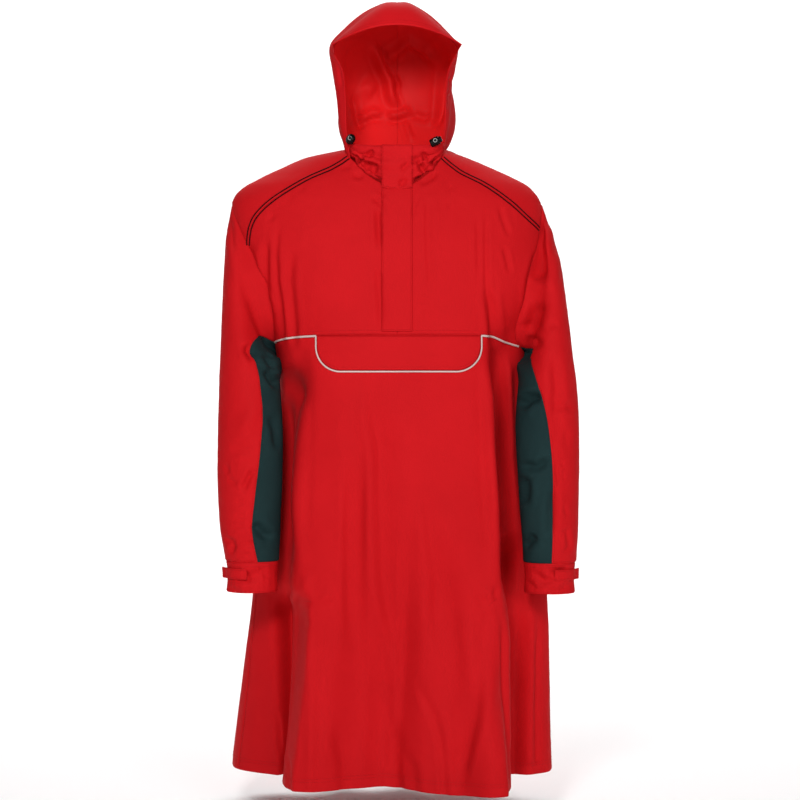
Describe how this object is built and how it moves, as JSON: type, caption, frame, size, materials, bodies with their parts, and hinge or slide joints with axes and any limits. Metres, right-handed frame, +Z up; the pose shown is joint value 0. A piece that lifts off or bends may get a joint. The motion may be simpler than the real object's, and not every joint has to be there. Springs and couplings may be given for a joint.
{
  "type": "hooded rain cape with sleeves (raincoat)",
  "caption": "Knee-long pull-over rain cape in worn form, with a raised peaked hood, sleeves, chest pocket flap and open hem.",
  "frame": {"origin": "middle of the neck's base, level with the top of the shoulders, where the wearer holds the cape up", "axes": "+Z up, -Y is the front, +X is towards the wearer's left"},
  "size_m": [0.6137, 0.4489, 1.3305],
  "materials": {
    "shell": "red coated woven rainwear cloth, satin",
    "hood": "red coated cloth, glossier coating inside",
    "underarm": "dark green woven cloth, matt",
    "piping": "silver-grey reflective piping",
    "tape": "red seam with twin dark piping",
    "cord_lock": "black moulded"
  },
  "bodies": {
    "root": {"front_skirt": "shell", "back": "shell", "chest_right": "shell", "chest_left": "shell", "yoke_right": "shell", "yoke_left": "shell", "sleeve_right": "shell", "sleeve_left": "shell", "underarm_panel_right": "underarm", "underarm_panel_left": "underarm", "cuff_right": "shell", "cuff_left": "shell", "cuff_tab_right": "shell", "cuff_tab_left": "shell", "hood_right": "hood", "hood_left": "hood", "hood_peak": "shell", "collar_right": "shell", "collar_left": "shell", "chin_flap": "shell", "placket": "shell", "pocket_flap": "shell", "flap_piping": "piping", "chest_piping_right": "piping", "chest_piping_left": "piping", "yoke_tape_front_right": "tape", "yoke_tape_front_left": "tape", "yoke_tape_back_right": "tape", "yoke_tape_back_left": "tape", "cord_lock_right": "cord_lock", "cord_lock_left": "cord_lock"}
  },
  "joints": []
}
